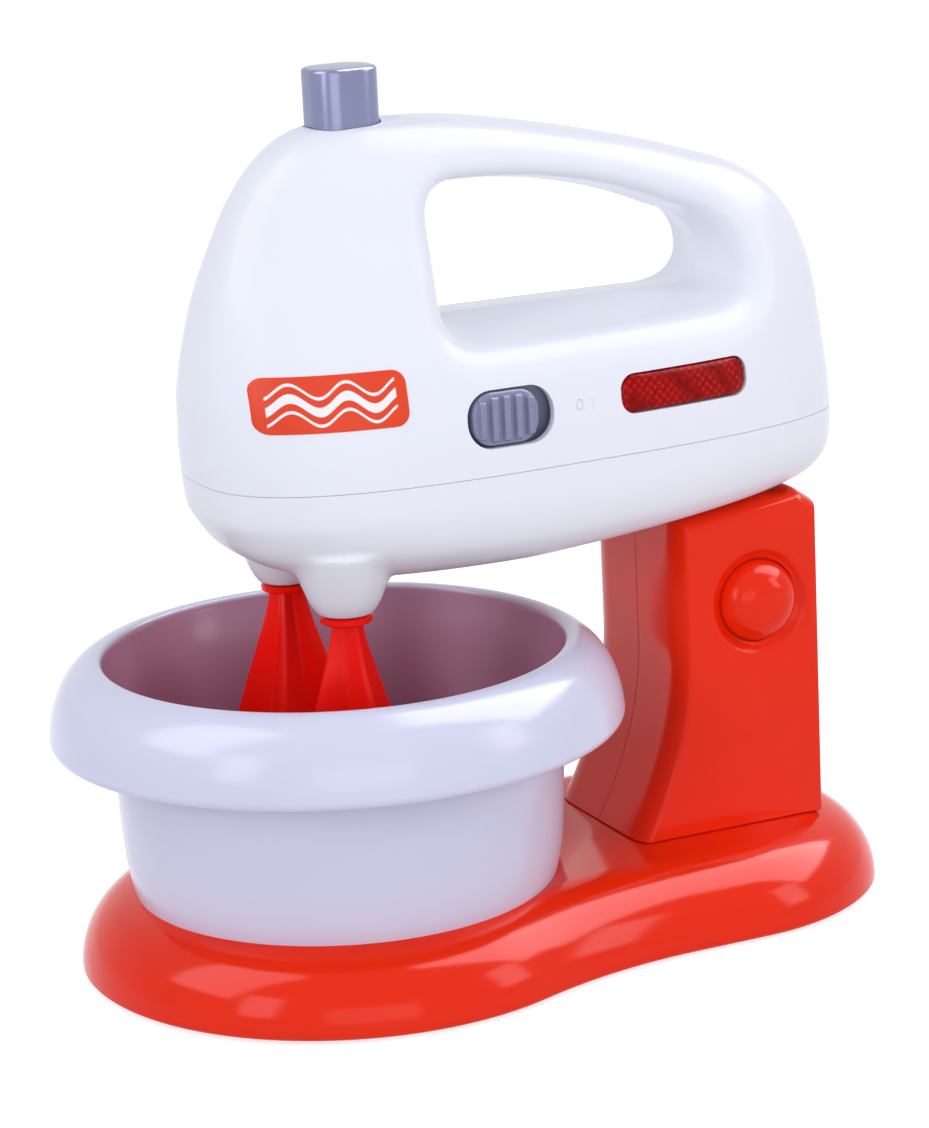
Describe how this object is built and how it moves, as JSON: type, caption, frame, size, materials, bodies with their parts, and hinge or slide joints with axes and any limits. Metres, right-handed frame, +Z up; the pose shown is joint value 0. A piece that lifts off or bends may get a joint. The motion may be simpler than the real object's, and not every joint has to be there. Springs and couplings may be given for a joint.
{
  "type": "toy stand mixer",
  "caption": "Child's toy stand mixer: white tilting head with handle, red beaters over a white bowl, red base and column, grey eject button and slide switch.",
  "frame": {"origin": "on the table under the middle of the part's outline, at the underside of the feet", "axes": "+X from the bowl end towards the column, +Y away from the side with the switch and the release knob, +Z up"},
  "size_m": [0.212, 0.14, 0.2165],
  "materials": {
    "white_plastic": "glossy white with a faint cool cast",
    "red_plastic": "glossy red, smooth mould surface",
    "rubber": "matt dark rubber",
    "steel": "plain zinc-plated steel",
    "grey_plastic": "satin blue-grey",
    "lens_plastic": "clear dark red with a textured back",
    "beater_plastic": "glossy deep red",
    "gear_plastic": "natural unpainted moulding",
    "brass": "plain brass",
    "cell_skin": "plain printed sleeve with no maker",
    "black_plastic": "matt black",
    "board": "green circuit board",
    "label": "thin printed sheet with a plain design"
  },
  "bodies": {
    "base": {"base_cover": "red_plastic", "base_plate": "red_plastic", "foot_1": "rubber", "foot_2": "rubber", "foot_3": "rubber", "foot_4": "rubber", "foot_5": "rubber", "base_screw_1": "steel", "base_screw_2": "steel", "base_screw_3": "steel", "base_screw_4": "steel", "column_near_half": "red_plastic", "column_far_half": "red_plastic", "column_screw_1": "steel", "column_screw_2": "steel", "column_screw_3": "steel", "column_screw_4": "steel", "column_side_screw_1": "steel", "column_side_screw_2": "steel", "hinge_pin": "steel", "knob_spring": "steel"},
    "bowl": {"bowl": "white_plastic"},
    "head": {"upper_shell": "white_plastic", "lower_shell": "white_plastic", "head_screw_1": "steel", "head_screw_2": "steel", "head_screw_3": "steel", "head_screw_4": "steel", "lens": "lens_plastic", "lamp": "lens_plastic", "lamp_board": "board", "slot_plate": "grey_plastic", "switch_body": "black_plastic", "motor": "steel", "motor_plate": "grey_plastic", "gear_plate": "grey_plastic", "battery_cell_1": "cell_skin", "battery_cell_2": "cell_skin", "battery_door": "white_plastic", "battery_contact_front": "brass", "battery_contact_rear": "brass", "label": "label", "tilt_bracket": "grey_plastic", "bracket_screw_1": "steel", "bracket_screw_2": "steel", "door_screw": "steel", "eject_spring": "steel"},
    "release_knob": {"release_knob": "red_plastic"},
    "switch": {"switch_thumb": "grey_plastic"},
    "ejector": {"eject_button": "grey_plastic", "eject_yoke": "grey_plastic"},
    "spindle_near": {"spindle_near": "gear_plastic"},
    "spindle_far": {"spindle_far": "gear_plastic"},
    "drive_gear": {"drive_gear": "gear_plastic"},
    "idler_gear": {"idler_gear": "gear_plastic"},
    "motor_pinion": {"motor_pinion": "brass"},
    "beater_near": {"beater_near": "beater_plastic"},
    "beater_far": {"beater_far": "beater_plastic"}
  },
  "joints": [
    {"name": "head_tilt", "type": "hinge", "parent": "base", "child": "head", "pos_m": [0.0805, 0, 0.09949], "axis": [0, 1, 0], "range_deg": [0, 35]},
    {"name": "bowl_lift", "type": "slide", "parent": "base", "child": "bowl", "axis": [0, 0, 1], "range_m": [0, 0.008]},
    {"name": "release_press", "type": "slide", "parent": "base", "child": "release_knob", "axis": [0, 1, 0], "range_m": [0, 0.003], "stiffness_N_per_m": 500, "springref_m": -0.002, "deforming": ["knob_spring"]},
    {"name": "switch_slide", "type": "slide", "parent": "head", "child": "switch", "axis": [1, 0, 0], "range_m": [0, 0.0035]},
    {"name": "eject_press", "type": "slide", "parent": "head", "child": "ejector", "axis": [0, 0, -1], "range_m": [0, 0.006], "stiffness_N_per_m": 400, "springref_m": -0.004, "deforming": ["eject_spring"]},
    {"name": "spindle_near_spin", "type": "hinge", "parent": "head", "child": "spindle_near", "pos_m": [-0.0399, -0.0186, 0.109], "axis": [0, 0, 1], "continuous": true},
    {"name": "drive_gear_spin", "type": "hinge", "parent": "head", "child": "drive_gear", "pos_m": [-0.0399, -0.0062, 0.109], "axis": [0, 0, 1], "continuous": true},
    {"name": "idler_spin", "type": "hinge", "parent": "head", "child": "idler_gear", "pos_m": [-0.0399, 0.0062, 0.109], "axis": [0, 0, 1], "continuous": true},
    {"name": "spindle_far_spin", "type": "hinge", "parent": "head", "child": "spindle_far", "pos_m": [-0.0399, 0.0186, 0.109], "axis": [0, 0, 1], "continuous": true},
    {"name": "pinion_spin", "type": "hinge", "parent": "head", "child": "motor_pinion", "pos_m": [-0.02782, -0.0062, 0.115], "axis": [0, 0, 1], "continuous": true},
    {"name": "beater_near_drop", "type": "slide", "parent": "spindle_near", "child": "beater_near", "axis": [0, 0, -1], "range_m": [0, 0.006]},
    {"name": "beater_far_drop", "type": "slide", "parent": "spindle_far", "child": "beater_far", "axis": [0, 0, -1], "range_m": [0, 0.006]}
  ],
  "couplings": [
    {"joint": "drive_gear_spin", "follows": "spindle_near_spin", "ratio": -1},
    {"joint": "idler_spin", "follows": "spindle_near_spin", "ratio": 1},
    {"joint": "spindle_far_spin", "follows": "spindle_near_spin", "ratio": -1},
    {"joint": "pinion_spin", "follows": "spindle_near_spin", "ratio": 3},
    {"joint": "beater_near_drop", "follows": "eject_press", "ratio": 1},
    {"joint": "beater_far_drop", "follows": "eject_press", "ratio": 1}
  ]
}
